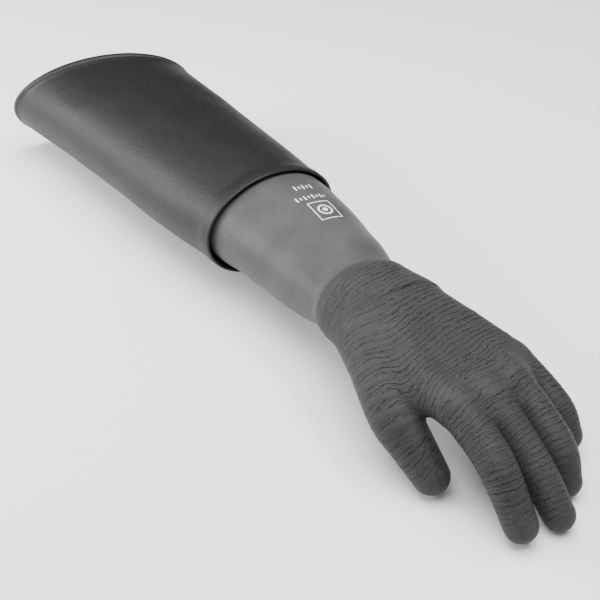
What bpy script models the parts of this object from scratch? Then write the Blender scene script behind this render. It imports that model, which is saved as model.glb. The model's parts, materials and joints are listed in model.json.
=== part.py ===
"""Long-cuffed insulated rubber glove for the left hand, with an attached fabric sleeve.

The arm runs along +X from the sleeve's mouth to the fingertips, the back of the hand faces +Z
and the thumb is on the -Y side.  The glove stands like an arch on the underside of the sleeve's
mouth and on the tips of the thumb and fingers.  The dipped skin and the knitted lining are
divided at the flex lines of the wrist and of each digit, so that every length can turn.
"""
import math

import bmesh
import bpy
from mathutils import Matrix, Vector

MM = 0.001
WELD_DISTANCE = 0.000005

# Where the lower end of the sleeve lies, so that the frame's origin is under the middle of the glove
ARM_START = Vector((-10.3, 0.0, 0.0))

# Gaps and walls, in millimetres
GAP = 0.3
SHELL_WALL = 1.8
LINING_WALL = 1.2
FABRIC_WALL = 1.2
OVERRUN = 6.0

# Sleeve: an oval tube, slanted at its mouth
SLEEVE_LENGTH = 283.0
MOUTH_WIDTH = 154.5
MOUTH_HEIGHT = 93.5
MOUTH_SLANT_UP = 0.40
MOUTH_SLANT_SIDE = 0.32
SLEEVE_END_WIDTH = 115.0
SLEEVE_END_HEIGHT = 83.5
SLEEVE_END_LEVEL = 53.0
HEM_PROUD = 1.8
MOUTH_HEM_LENGTH = 16.0
MOUTH_HEM_RIM = 2.0
STITCH_PLACE = 11.0
STITCH_THREAD = 0.9
LOWER_HEM_LENGTH = 14.0
LOWER_HEM_PROUD = 1.0
LOWER_HEM_DEPTH = 4.6
SEAM_ANGLE = math.radians(-24)
SEAM_WIDTH = 11.0
SEAM_THICKNESS = 1.4
SEAM_END_GAP = 4.0
SEAM_STANDOFF = 0.6

# Gauntlet: the smooth rubber forearm, (place along the arm, offset to the side, width, height, level)
GAUNTLET_START = -62.0
GAUNTLET_STATIONS = (
    (GAUNTLET_START, 0.0, 107.0, 75.0, 52.8),
    (0.0, 0.0, 104.0, 72.6, 52.9),
    (22.0, 0.4, 103.0, 72.4, 52.9),
    (45.0, -0.4, 99.4, 70.2, 52.0),
    (70.0, -2.2, 92.4, 66.2, 51.3),
    (95.0, -3.6, 85.4, 62.8, 51.5),
    (121.0, -4.8, 81.0, 60.8, 53.4),
    (157.0, -8.0, 82.0, 60.4, 57.3),
    (175.0, -9.4, 82.5, 60.0, 59.0),
)
BEAD_THICKNESS = 4.0
BAND_START = -46.0
BAND_LENGTH = 12.0

# Hand: placed at the wrist joint, (place along the hand, offset to the side, width, height)
WRIST = Vector((157.0, -8.0, 57.3))
WRIST_RADIUS = 34.0
WRIST_HALF_HEIGHT = 30.5
WRIST_FLEX = 40.0
WRIST_EXTEND = 35.0
HAND_YAW = math.radians(6.5)
HAND_PITCH = math.radians(3.5)
HAND_ROLL = math.radians(-6.5)
PALM_STATIONS = (
    (-40.0, 4.0, 76.0, 58.0),
    (-12.0, 1.0, 83.0, 57.0),
    (10.0, 0.0, 90.0, 49.0),
    (40.0, -1.0, 97.0, 39.5),
    (66.0, -1.0, 101.0, 32.5),
    (96.0, -1.0, 101.0, 28.0),
)
PALM_SQUARENESS = 2.5

# Fingers: base point in the hand's frame, splay, rest flexion at the base and at the middle,
# how far each of the two bends on from there, lengths of the two parts, half width and half
# height at the base, and radius of the tip
FINGERS = {
    "index": dict(base=(94.7, -38.0, 1.8), splay=-4.8, bend=(21.5, 20.5), flex=(20.0, 35.0),
                  lengths=(38.8, 40.6), half=(12.1, 13.0), tip=10.9),
    "middle": dict(base=(98.6, -12.6, 1.9), splay=-3.5, bend=(26.0, 9.5), flex=(45.0, 55.0),
                   lengths=(49.4, 32.5), half=(12.2, 13.2), tip=10.4),
    "ring": dict(base=(94.8, 13.2, 2.7), splay=-4.0, bend=(23.5, 29.5), flex=(45.0, 45.0),
                 lengths=(48.4, 24.8), half=(12.1, 13.1), tip=10.7),
    "little": dict(base=(81.9, 37.6, -1.7), splay=3.0, bend=(21.5, 26.5), flex=(50.0, 40.0),
                   lengths=(37.4, 20.7), half=(10.8, 11.8), tip=10.0),
}
KNUCKLE_CLEARANCE = 2.5

# Thumb: heel, root, base joint and tip centre in the hand's frame; the heel is buried in the palm
THUMB_HEEL = Vector((-18.0, -19.0, -1.0))
THUMB_HEEL_RADIUS = 15.0
THUMB_ROOT = Vector((6.4, -28.0, -1.4))
THUMB_JOINT = Vector((58.4, -53.6, -20.4))
THUMB_TIP = Vector((96.4, -53.2, -43.4))
THUMB_ROOT_RADIUS = 21.0
THUMB_BASE_RADIUS = 16.2
THUMB_TIP_RADIUS = 12.3
THUMB_BASE_SHARE = 0.42
THUMB_BASE_FLEX = 25.0
THUMB_TIP_FLEX = 40.0
THUMB_SWEEP = Vector((0.0, 0.75, -0.66))

ARM_SIDES = 24
MOUTH_LEVEL = (MOUTH_HEIGHT / 2 + HEM_PROUD) * math.cos(math.pi / ARM_SIDES)
PALM_SIDES = 22
DIGIT_SIDES = 12
DOME_RINGS = 3
ARC_STEPS = 9
SOCKET_MARGIN = 3.0
SOCKET_REACH = 1.25
FAR = 70.0


def clear_scene():
    for obj in list(bpy.data.objects):
        bpy.data.objects.remove(obj, do_unlink=True)


def make_material(name, color, roughness):
    material = bpy.data.materials.new(name)
    material.use_nodes = True
    shader = material.node_tree.nodes["Principled BSDF"]
    shader.inputs["Base Color"].default_value = (*color, 1.0)
    shader.inputs["Roughness"].default_value = roughness
    shader.inputs["Metallic"].default_value = 0.0
    return material


class Section:
    """One oval cross-section: a centre, two directions across and the half sizes along them."""

    def __init__(self, centre, right, up, half_width, half_height, power=2.0):
        self.centre = Vector(centre)
        self.right = Vector(right)
        self.up = Vector(up)
        self.half_width = half_width
        self.half_height = half_height
        self.power = power

    def inset(self, depth):
        return Section(self.centre, self.right, self.up, self.half_width - depth,
                       self.half_height - depth, self.power)

    def moved(self, step):
        return Section(self.centre + step, self.right, self.up, self.half_width,
                       self.half_height, self.power)

    def point(self, angle):
        across = math.copysign(abs(math.cos(angle)) ** (2 / self.power), math.cos(angle))
        upward = math.copysign(abs(math.sin(angle)) ** (2 / self.power), math.sin(angle))
        return (self.centre + self.right * self.half_width * across
                + self.up * self.half_height * upward)

    def points(self, sides):
        half_step = math.pi / sides
        return [self.point(half_step + 2 * half_step * i) for i in range(sides)]


def blend_sections(first, second, share):
    return Section(first.centre.lerp(second.centre, share), first.right.lerp(second.right, share),
                   first.up.lerp(second.up, share),
                   first.half_width + (second.half_width - first.half_width) * share,
                   first.half_height + (second.half_height - first.half_height) * share,
                   first.power + (second.power - first.power) * share)


def new_object(name, mesh_builder):
    mesh = bpy.data.meshes.new(name)
    mesh_builder.normal_update()
    mesh_builder.to_mesh(mesh)
    mesh_builder.free()
    obj = bpy.data.objects.new(name, mesh)
    bpy.context.scene.collection.objects.link(obj)
    return obj


def loft(name, sections, sides):
    """Closed solid through the sections, in metres, always divided the same way so that
    the offsets of one run stay nested."""
    builder = bmesh.new()
    rings = [[builder.verts.new(point * MM) for point in section.points(sides)]
             for section in sections]
    for lower, upper in zip(rings, rings[1:]):
        for i in range(sides):
            j = (i + 1) % sides
            builder.faces.new((lower[i], lower[j], upper[j]))
            builder.faces.new((lower[i], upper[j], upper[i]))
    builder.faces.new(reversed(rings[0]))
    builder.faces.new(rings[-1])
    bmesh.ops.recalc_face_normals(builder, faces=builder.faces)
    return new_object(name, builder)


def combine(obj, other, operation):
    """Apply one exact Boolean and remove the other object."""
    modifier = obj.modifiers.new(operation, "BOOLEAN")
    modifier.operation = operation
    modifier.object = other
    bpy.context.view_layer.update()
    graph = bpy.context.evaluated_depsgraph_get()
    mesh = bpy.data.meshes.new_from_object(obj.evaluated_get(graph))
    obj.modifiers.remove(modifier)
    builder = bmesh.new()
    builder.from_mesh(mesh)
    bmesh.ops.remove_doubles(builder, verts=builder.verts, dist=WELD_DISTANCE)
    bmesh.ops.dissolve_degenerate(builder, edges=builder.edges, dist=WELD_DISTANCE)
    builder.to_mesh(mesh)
    builder.free()
    obj.data = mesh
    bpy.data.objects.remove(other, do_unlink=True)
    return obj


def cut(obj, *cutters):
    for cutter in cutters:
        combine(obj, cutter, "DIFFERENCE")
    return obj


def tube(name, sections, sides, outer, inner, open_start=True, open_end=True):
    """A wall between two insets of the same run of sections, open where it says."""
    solid = loft(name, [section.inset(outer) for section in sections], sides)
    hollow = [section.inset(inner) for section in sections]
    if open_start:
        back = (hollow[0].centre - hollow[1].centre).normalized() * OVERRUN
        hollow.insert(0, hollow[0].moved(back))
    if open_end:
        ahead = (hollow[-1].centre - hollow[-2].centre).normalized() * OVERRUN
        hollow.append(hollow[-1].moved(ahead))
    return cut(solid, loft(name + "_hollow", hollow, sides))


def prism(name, outline, centre, ahead, up, half_width):
    """Solid of a flat outline in the (ahead, up) plane, reaching half_width to each side."""
    side = up.cross(ahead).normalized()
    builder = bmesh.new()
    rings = []
    for offset in (-half_width, half_width):
        rings.append([builder.verts.new((centre + ahead * a + up * u + side * offset) * MM)
                      for a, u in outline])
    builder.faces.new(rings[0])
    builder.faces.new(reversed(rings[1]))
    count = len(outline)
    for i in range(count):
        j = (i + 1) % count
        builder.faces.new((rings[0][i], rings[1][i], rings[1][j], rings[0][j]))
    bmesh.ops.recalc_face_normals(builder, faces=builder.faces)
    return new_object(name, builder)


class Hinge:
    """A flex line: its centre, the way ahead, the way up across the tube, and its knuckle radius."""

    def __init__(self, centre, ahead, up, radius):
        self.centre = Vector(centre)
        self.ahead = Vector(ahead).normalized()
        side = Vector(up).cross(self.ahead).normalized()
        self.up = self.ahead.cross(side).normalized()
        self.side = side
        self.radius = radius

    def turned(self, degrees):
        """The frame of the child that points down by this angle."""
        turn = Matrix.Rotation(math.radians(degrees), 3, self.side)
        return turn @ self.ahead, turn @ self.up

    def arc(self, radius, start, end):
        steps = [start + (end - start) * i / ARC_STEPS for i in range(ARC_STEPS + 1)]
        return [(radius * math.cos(math.radians(t)), radius * math.sin(math.radians(t)))
                for t in steps]

    def socket(self, down, up, half_width):
        """Cutter for the parent: the knuckle's round and the wedge that the child sweeps.
        down and up say how far behind the flex line the wedge opens below and above it."""
        sweep = 180 - down - up
        radius = (self.radius + GAP) / math.cos(math.radians(sweep / ARC_STEPS / 2))
        reach = self.radius * SOCKET_REACH
        outline = self.arc(radius, 90 + up, 270 - down)
        outline.append((-reach * math.tan(math.radians(down)), -reach))
        outline.append((FAR, -reach))
        outline.append((FAR, reach))
        outline.append((-reach * math.tan(math.radians(up)), reach))
        return prism("socket", outline, self.centre, self.ahead, self.up, half_width)

    def knuckle(self, ahead, up, half_width):
        """Cutter for the child: what lies behind its round end."""
        outline = self.arc(self.radius, 90, 270)
        outline += [(0.0, -FAR), (-FAR, -FAR), (-FAR, FAR), (0.0, FAR)]
        return prism("knuckle", outline, self.centre, ahead, up, half_width)


def finish(obj, name, material, parent):
    """Name the node, give it its material and hang it on its joint's empty."""
    obj.name = name
    obj.data.name = name
    obj.data.materials.clear()
    obj.data.materials.append(material)
    obj.data.shade_smooth()
    obj.data.set_sharp_from_angle(angle=math.radians(40))
    if parent is not None:
        obj.data.transform(Matrix.Translation(-parent.matrix_world.translation))
        obj.parent = parent
    return obj


def joint_empty(name, centre):
    empty = bpy.data.objects.new(name, None)
    empty.empty_display_size = 0.01
    empty.location = centre * MM
    bpy.context.scene.collection.objects.link(empty)
    bpy.context.view_layer.update()
    return empty


# Sleeve ---------------------------------------------------------------------------------------

def sleeve_section(place):
    """Section at a distance behind the sleeve's lower end; the mouth's hem doesn't taper."""
    share = min(1.0, place / (SLEEVE_LENGTH - MOUTH_HEM_LENGTH))
    width = SLEEVE_END_WIDTH + (MOUTH_WIDTH - SLEEVE_END_WIDTH) * share
    height = SLEEVE_END_HEIGHT + (MOUTH_HEIGHT - SLEEVE_END_HEIGHT) * share
    level = SLEEVE_END_LEVEL + (MOUTH_LEVEL - SLEEVE_END_LEVEL) * share
    right = Vector((MOUTH_SLANT_SIDE * share, 1.0, 0.0))
    up = Vector((MOUTH_SLANT_UP * share, 0.0, 1.0))
    return Section(ARM_START + Vector((-place, 0.0, level)), right, up, width / 2, height / 2)


def sleeve_run(start, end):
    return [sleeve_section(place) for place in (end, start)]


def make_sleeve(fabric, lining, thread):
    rim = SLEEVE_LENGTH
    hem_edge = rim - MOUTH_HEM_LENGTH
    body = (sleeve_run(hem_edge, rim - MOUTH_HEM_RIM - GAP)[:1]
            + sleeve_run(MOUTH_HEM_RIM + GAP, hem_edge))
    finish(tube("shell", body, ARM_SIDES, 0.0, FABRIC_WALL), "sleeve_shell", fabric, None)
    inner = FABRIC_WALL + GAP
    finish(tube("lining", body, ARM_SIDES, inner, inner + LINING_WALL), "sleeve_lining", lining, None)

    # Mouth hem: folded over the edge of both layers, with a groove that holds the stitch line
    channel_inner = inner + LINING_WALL + GAP
    hem_inner = channel_inner + FABRIC_WALL
    hem = tube("hem", sleeve_run(hem_edge, rim), ARM_SIDES, -HEM_PROUD, hem_inner)
    slot_run = sleeve_run(hem_edge, rim - MOUTH_HEM_RIM)
    slot_run.append(slot_run[-1].moved(Vector((OVERRUN, 0, 0))))
    cut(hem, tube("slot", slot_run, ARM_SIDES, -GAP, channel_inner))
    stitch = rim - STITCH_PLACE
    groove_half = STITCH_THREAD / 2 + GAP
    groove = tube("groove", sleeve_run(stitch - groove_half, stitch + groove_half), ARM_SIDES,
                  -HEM_PROUD - OVERRUN, -HEM_PROUD + STITCH_THREAD)
    cut(hem, groove)
    finish(hem, "sleeve_mouth_hem", fabric, None)
    row = tube("row", sleeve_run(stitch - STITCH_THREAD / 2, stitch + STITCH_THREAD / 2), ARM_SIDES,
               -HEM_PROUD, -HEM_PROUD + STITCH_THREAD - GAP)
    finish(row, "sleeve_hem_thread", thread, None)

    # Lower hem: turned in round the edge, close round the gauntlet
    lower = tube("lower", sleeve_run(0.0, LOWER_HEM_LENGTH), ARM_SIDES, -LOWER_HEM_PROUD, LOWER_HEM_DEPTH)
    slot = tube("slot", sleeve_run(MOUTH_HEM_RIM, LOWER_HEM_LENGTH + OVERRUN), ARM_SIDES, -GAP,
                channel_inner)
    finish(cut(lower, slot), "sleeve_lower_hem", fabric, None)

    # Side seam: a lapped strip along the side that faces away from the thumb
    sections = []
    for section in sleeve_run(LOWER_HEM_LENGTH + SEAM_END_GAP, hem_edge - SEAM_END_GAP):
        foot = section.inset(-GAP).point(SEAM_ANGLE)
        crown = section.inset(-GAP - SEAM_THICKNESS).point(SEAM_ANGLE)
        outward = (crown - foot).normalized()
        along = outward.cross(Vector((1.0, 0.0, 0.0))).normalized()
        lift = SEAM_THICKNESS / 2 + SEAM_STANDOFF
        sections.append(Section(foot + outward * lift, along, outward, SEAM_WIDTH / 2,
                                SEAM_THICKNESS / 2, 3.0))
    finish(loft("seam", sections, DIGIT_SIDES), "sleeve_side_seam", fabric, None)


# Gauntlet -------------------------------------------------------------------------------------

def arm_section(station):
    place, side, width, height, level = station
    centre = ARM_START + Vector((place, side, level))
    return Section(centre, Vector((0, 1, 0)), Vector((0, 0, 1)), width / 2, height / 2)


def make_gauntlet(rubber, knit, fabric, wrist):
    sections = [arm_section(station) for station in GAUNTLET_STATIONS]
    inner = SHELL_WALL + GAP
    behind = SOCKET_MARGIN - 90 + wall_reach(WRIST_HALF_HEIGHT, WRIST_RADIUS)
    opening = dict(down=WRIST_FLEX + behind, up=WRIST_EXTEND + behind)
    shell = tube("gauntlet", sections, ARM_SIDES, 0.0, SHELL_WALL)
    cut(shell, wrist.socket(half_width=FAR, **opening))
    finish(shell, "gauntlet_shell", rubber, None)
    lining = tube("gauntlet", sections, ARM_SIDES, inner, inner + LINING_WALL)
    cut(lining, wrist.socket(half_width=FAR, **opening))
    finish(lining, "gauntlet_lining", knit, None)

    # Bead: the rolled rim of the dipped skin, inside the sleeve
    first = sections[0]
    step = Vector((-1, 0, 0))
    roll = [first.moved(step * (GAP + BEAD_THICKNESS * share)).inset(depth)
            for share, depth in ((1.0, 0.6), (0.5, -0.8), (0.0, 0.6))]
    finish(tube("bead", roll, ARM_SIDES, 0.0, BEAD_THICKNESS), "gauntlet_bead", rubber, None)

    # Joining band: holds the sleeve's lining to the outside of the gauntlet
    start = GAUNTLET_STATIONS[0]
    end = GAUNTLET_STATIONS[1]
    outer_inset = FABRIC_WALL + GAP + LINING_WALL + GAP
    outer = [sleeve_section(-place).inset(outer_inset)
             for place in (BAND_START, BAND_START + BAND_LENGTH)]
    ring = loft("band", outer, ARM_SIDES)
    bore = []
    for place in (BAND_START - OVERRUN, BAND_START + BAND_LENGTH + OVERRUN):
        share = (place - start[0]) / (end[0] - start[0])
        bore.append(blend_sections(sections[0], sections[1], share).inset(-GAP))
    finish(cut(ring, loft("bore", bore, ARM_SIDES)), "sleeve_joining_band", fabric, None)


# Hand -----------------------------------------------------------------------------------------

HAND_FRAME = (Matrix.Translation(ARM_START + WRIST) @ Matrix.Rotation(HAND_YAW, 4, "Z")
              @ Matrix.Rotation(HAND_PITCH, 4, "Y") @ Matrix.Rotation(HAND_ROLL, 4, "X"))


def hand_point(point):
    return HAND_FRAME @ Vector(point)


def hand_way(direction):
    return (HAND_FRAME.to_3x3() @ Vector(direction)).normalized()


def palm_sections():
    side = hand_way((0, 1, 0))
    up = hand_way((0, 0, 1))
    return [Section(hand_point((place, offset, 0)), side, up, width / 2, height / 2,
                    PALM_SQUARENESS if place > 0 else 2.0)
            for place, offset, width, height in PALM_STATIONS]


def thumb_frame():
    """Way ahead and way up of the thumb, whose down is the way it sweeps in below the palm."""
    ahead = (THUMB_TIP - THUMB_JOINT).normalized()
    side = ahead.cross(THUMB_SWEEP).normalized()
    up = ahead.cross(side).normalized()
    return hand_way(ahead), hand_way(up)


def thumb_root_sections():
    ahead, up = thumb_frame()
    side = up.cross(ahead)
    root = hand_point(THUMB_ROOT)
    joint = hand_point(THUMB_JOINT)
    past = joint + ahead * THUMB_BASE_RADIUS
    heel = hand_point(THUMB_HEEL)
    return [Section(heel, side, up, THUMB_HEEL_RADIUS, THUMB_HEEL_RADIUS),
            Section(root, side, up, THUMB_ROOT_RADIUS, THUMB_ROOT_RADIUS),
            Section(joint, side, up, THUMB_BASE_RADIUS, THUMB_BASE_RADIUS),
            Section(past, side, up, THUMB_BASE_RADIUS, THUMB_BASE_RADIUS)]


def joined_tube(name, outer, inner, sides):
    """Palm and thumb root as one wall between two insets."""
    solid = loft(name, [s.inset(outer) for s in palm_sections()], sides)
    combine(solid, loft("root", [s.inset(outer) for s in thumb_root_sections()], DIGIT_SIDES + 4), "UNION")
    hollow = [s.inset(inner) for s in palm_sections()]
    hollow.insert(0, hollow[0].moved((hollow[0].centre - hollow[1].centre).normalized() * OVERRUN))
    hollow.append(hollow[-1].moved((hollow[-1].centre - hollow[-2].centre).normalized() * OVERRUN))
    thumb = [s.inset(inner) for s in thumb_root_sections()]
    thumb.append(thumb[-1].moved((thumb[-1].centre - thumb[-2].centre).normalized() * OVERRUN))
    return cut(solid, loft("palm_hollow", hollow, sides), loft("thumb_hollow", thumb, DIGIT_SIDES + 4))


def wall_reach(half_height, radius):
    """How far off straight ahead the tube's wall lies where it leaves the knuckle, in degrees."""
    return math.degrees(math.asin(half_height / radius))


def finger_hinges(spec):
    """Base and middle flex lines of a finger, with the frames of its two parts."""
    half_width, half_height = spec["half"]
    splay = math.radians(spec["splay"])
    ahead = hand_way((math.cos(splay), math.sin(splay), 0))
    up = hand_way((0, 0, 1))
    base = Hinge(hand_point(spec["base"]), ahead, up, half_height + KNUCKLE_CLEARANCE)
    way, top = base.turned(spec["bend"][0])
    middle_half = (half_height + spec["tip"]) / 2
    middle = Hinge(base.centre + way * spec["lengths"][0], way, top, middle_half + KNUCKLE_CLEARANCE)
    tip_way, tip_top = middle.turned(spec["bend"][1])
    return base, (way, top), middle, (tip_way, tip_top)


def digit_base_sections(base, frame, middle, half, end_half):
    way, top = frame
    side = top.cross(way)
    length = (middle.centre - base.centre).length
    return [Section(base.centre + way * place, side, top, half[0] + (end_half[0] - half[0]) * share,
                    half[1] + (end_half[1] - half[1]) * share)
            for place, share in ((-base.radius - OVERRUN, 0.0), (0.0, 0.0), (length, 1.0),
                                 (length + middle.radius, 1.0))]


def digit_tip_sections(middle, frame, length, half, tip):
    way, top = frame
    side = top.cross(way)
    sections = [Section(middle.centre + way * place, side, top, half[0], half[1])
                for place in (-middle.radius - OVERRUN, 0.0)]
    for i in range(DOME_RINGS + 1):
        turn = math.radians(76) * i / DOME_RINGS
        sections.append(Section(middle.centre + way * (length + tip * math.sin(turn)), side, top,
                                (half[0] / half[1]) * tip * math.cos(turn), tip * math.cos(turn)))
    return sections


def dome_tube(name, sections, outer, inner):
    """Closed-end tube: the hollow stops short of the tip by the wall."""
    way = (sections[-1].centre - sections[-2].centre).normalized()

    def shrunk(depth):
        return [s.inset(min(depth, s.half_width * 0.6)).moved(way * (-depth if i > 1 else 0.0))
                for i, s in enumerate(sections)]

    solid = loft(name, shrunk(outer), DIGIT_SIDES)
    hollow = shrunk(inner)
    hollow.insert(0, hollow[0].moved(-way * OVERRUN))
    return cut(solid, loft("hollow", hollow, DIGIT_SIDES))


def make_digit(name, base, frame, middle, tip_frame, half, end_half, length, tip, drop, skins):
    """Base and tip lengths of one digit, each with its rubber skin and its knitted lining."""
    skin, knit = skins
    base_empty = joint_empty(name + "_base_joint", base.centre)
    tip_empty = joint_empty(name + "_tip_joint", middle.centre)
    base_sections = digit_base_sections(base, frame, middle, half, end_half)
    tip_sections = digit_tip_sections(middle, tip_frame, length, end_half, tip)
    opening = drop + SOCKET_MARGIN - 90 + wall_reach(end_half[1], middle.radius)
    inner = SHELL_WALL + GAP
    for layer, outer, deep, material in (("shell", 0.0, SHELL_WALL, skin),
                                         ("lining", inner, inner + LINING_WALL, knit)):
        part = tube("base", base_sections, DIGIT_SIDES, outer, deep)
        cut(part, base.knuckle(*frame, FAR), middle.socket(opening, 0.0, FAR))
        finish(part, name + "_base_" + layer, material, base_empty)
        part = dome_tube("tip", tip_sections, outer, deep)
        cut(part, middle.knuckle(*tip_frame, FAR))
        finish(part, name + "_tip_" + layer, material, tip_empty)


def make_hand(skin, knit, wrist):
    hand_empty = joint_empty("wrist_joint", wrist.centre)
    fingers = {name: finger_hinges(spec) for name, spec in FINGERS.items()}
    ahead, up = thumb_frame()
    thumb = Hinge(hand_point(THUMB_JOINT), ahead, up, THUMB_BASE_RADIUS + KNUCKLE_CLEARANCE)
    inner = SHELL_WALL + GAP
    for layer, outer, deep, material in (("shell", 0.0, SHELL_WALL, skin),
                                         ("lining", inner, inner + LINING_WALL, knit)):
        palm = joined_tube("palm", outer, deep, PALM_SIDES)
        cut(palm, wrist.knuckle(wrist.ahead, wrist.up, FAR))
        for name, spec in FINGERS.items():
            base = fingers[name][0]
            reach = wall_reach(spec["half"][1], base.radius)
            down = spec["bend"][0] + spec["flex"][0] + SOCKET_MARGIN - 90 + reach
            outermost = name in ("index", "little")
            width = spec["half"][0] + (OVERRUN if outermost else KNUCKLE_CLEARANCE)
            cut(palm, base.socket(down, 0.0, width))
        reach = wall_reach(THUMB_BASE_RADIUS, thumb.radius)
        down = THUMB_BASE_FLEX + SOCKET_MARGIN - 90 + reach
        cut(palm, thumb.socket(max(down, 0.0), 0.0, THUMB_BASE_RADIUS + GAP))
        finish(palm, "hand_" + layer, material, hand_empty)

    for name, spec in FINGERS.items():
        base, frame, middle, tip_frame = fingers[name]
        share = (spec["half"][1] + spec["tip"]) / 2 / spec["half"][1]
        end_half = (spec["half"][0] * share, spec["half"][1] * share)
        make_digit(name, base, frame, middle, tip_frame, spec["half"], end_half, spec["lengths"][1],
                   spec["tip"], spec["bend"][1] + spec["flex"][1], (skin, knit))

    reach = THUMB_TIP - THUMB_JOINT
    middle_radius = THUMB_BASE_RADIUS + (THUMB_TIP_RADIUS - THUMB_BASE_RADIUS) * THUMB_BASE_SHARE
    tip_joint = Hinge(hand_point(THUMB_JOINT + reach * THUMB_BASE_SHARE), ahead, up,
                      middle_radius + KNUCKLE_CLEARANCE)
    frame = (ahead, up)
    make_digit("thumb", thumb, frame, tip_joint, frame, (THUMB_BASE_RADIUS, THUMB_BASE_RADIUS),
               (middle_radius, middle_radius), reach.length * (1 - THUMB_BASE_SHARE), THUMB_TIP_RADIUS,
               THUMB_TIP_FLEX, (skin, knit))


def main():
    clear_scene()
    fabric = make_material("coated_fabric", (0.024, 0.024, 0.025), 0.42)
    fleece = make_material("sleeve_lining_cloth", (0.055, 0.055, 0.058), 0.9)
    thread = make_material("black_thread", (0.03, 0.03, 0.03), 0.7)
    smooth = make_material("smooth_rubber", (0.10, 0.10, 0.105), 0.5)
    crinkle = make_material("crinkled_rubber", (0.055, 0.055, 0.058), 0.6)
    knit = make_material("knitted_lining", (0.45, 0.43, 0.39), 0.95)
    wrist = Hinge(ARM_START + WRIST, hand_way((1, 0, 0)), hand_way((0, 0, 1)), WRIST_RADIUS)
    make_sleeve(fabric, fleece, thread)
    make_gauntlet(smooth, knit, fabric, wrist)
    make_hand(crinkle, knit, wrist)


main()
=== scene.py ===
"""Looks of the long rubber glove: crinkled hand, smooth gauntlet and coated-fabric sleeve.

The hand's skin is one smooth surface round the bones that the joints give.  It is divided where
the blend between two bodies starts or ends.  Fingers
that touch at rest share one outer skin, which opens at their sides where one moves alone.
"""
import json
import math

import bmesh
import bpy
import numpy as np
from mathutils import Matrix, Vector


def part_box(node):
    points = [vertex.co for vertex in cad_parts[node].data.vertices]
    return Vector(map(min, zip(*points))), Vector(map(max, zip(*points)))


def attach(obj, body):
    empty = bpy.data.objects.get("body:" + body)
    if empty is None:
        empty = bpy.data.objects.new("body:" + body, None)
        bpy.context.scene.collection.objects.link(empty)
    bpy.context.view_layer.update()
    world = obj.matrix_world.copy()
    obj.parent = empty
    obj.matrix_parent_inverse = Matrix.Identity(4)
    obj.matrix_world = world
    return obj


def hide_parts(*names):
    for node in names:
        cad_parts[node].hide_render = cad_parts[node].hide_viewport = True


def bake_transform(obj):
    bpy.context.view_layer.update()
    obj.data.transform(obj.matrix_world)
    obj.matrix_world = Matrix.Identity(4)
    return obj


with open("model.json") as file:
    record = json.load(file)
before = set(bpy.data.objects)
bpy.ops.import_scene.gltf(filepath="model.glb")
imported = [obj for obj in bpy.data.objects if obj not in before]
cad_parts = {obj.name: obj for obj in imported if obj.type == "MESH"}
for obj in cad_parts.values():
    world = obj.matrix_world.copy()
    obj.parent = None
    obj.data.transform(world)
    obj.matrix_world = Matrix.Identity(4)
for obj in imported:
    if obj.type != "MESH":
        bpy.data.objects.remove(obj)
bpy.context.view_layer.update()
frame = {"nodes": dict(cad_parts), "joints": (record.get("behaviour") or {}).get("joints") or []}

MM = 0.001
DIGITS = ("thumb", "index", "middle", "ring", "little")
FINGERS = DIGITS[1:]
ROOT = "sleeve_and_gauntlet"
HAND = "hand"

# Hand skin, in metres
SKIN_VOXEL = 1.12 * MM
LINING_VOXEL = 2.4 * MM
LINING_DEPTH = 2.6 * MM
COAT_STEP = 0.28 * MM

JOINTS = {joint["name"]: joint for joint in frame["joints"]}


# Vectors and noise -----------------------------------------

def unit(vector):
    vector = np.asarray(vector, float)
    return vector / np.linalg.norm(vector)


def hashed(cells, seed):
    """A repeatable number from -1 to 1 for each integer cell."""
    cells = cells.astype(np.int64)
    mixed = cells[:, 0] * 374761393 + cells[:, 1] * 668265263 + cells[:, 2] * 1274126177 + seed * 144665
    mixed = ((mixed ^ (mixed >> 13)) * 1274126177) & 0x7FFFFFFF
    mixed = (mixed ^ (mixed >> 16)) * 1911520717 & 0x7FFFFFFF
    return mixed / float(0x3FFFFFFF) - 1.0


def noise(points, seed=0):
    """Smooth value noise from about -1 to 1 with one feature per unit."""
    base = np.floor(points)
    part = points - base
    part = part * part * part * (part * (part * 6 - 15) + 10)
    total = np.zeros(len(points))
    for dx in (0, 1):
        for dy in (0, 1):
            for dz in (0, 1):
                weight = ((part[:, 0] if dx else 1 - part[:, 0])
                          * (part[:, 1] if dy else 1 - part[:, 1])
                          * (part[:, 2] if dz else 1 - part[:, 2]))
                total += weight * hashed(base + np.array([dx, dy, dz]), seed)
    return total


def step_up(value, low, high):
    """0 below low and 1 above high, smoothly."""
    share = np.clip((value - low) / (high - low), 0, 1)
    return share * share * (3 - 2 * share)


def smooth_min(first, second, width):
    """The lesser of two distances, rounded where they are closer than width."""
    share = np.clip(0.5 + 0.5 * (second - first) / width, 0, 1)
    return second + (first - second) * share - width * share * (1 - share)


# Bones -----------------------------------------------------

def joint_place(name):
    return np.array(JOINTS[name]["pos_m"], float)


def node_tip(name, hinge):
    """Middle of the farthest ring of a fingertip's solid."""
    points = np.array([v.co for v in frame["nodes"][name].data.vertices], float)
    reach = np.linalg.norm(points - hinge, axis=1)
    return points[reach > reach.max() - 0.3 * MM].mean(0)


WRIST = joint_place("wrist_flex")
SIDE = unit(JOINTS["wrist_flex"]["axis"])
KNUCKLES = {name: joint_place(name + "_base_flex") for name in DIGITS}
MIDDLES = {name: joint_place(name + "_tip_flex") for name in DIGITS}
TIPS = {name: node_tip(name + "_tip_shell", MIDDLES[name]) for name in DIGITS}
_ahead = (KNUCKLES["index"] + KNUCKLES["little"]) / 2 - WRIST
AHEAD = unit(_ahead - SIDE * (_ahead @ SIDE))
UP = np.cross(AHEAD, SIDE)
AXES = {name: unit(JOINTS[name + "_base_flex"]["axis"]) for name in DIGITS}


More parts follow.
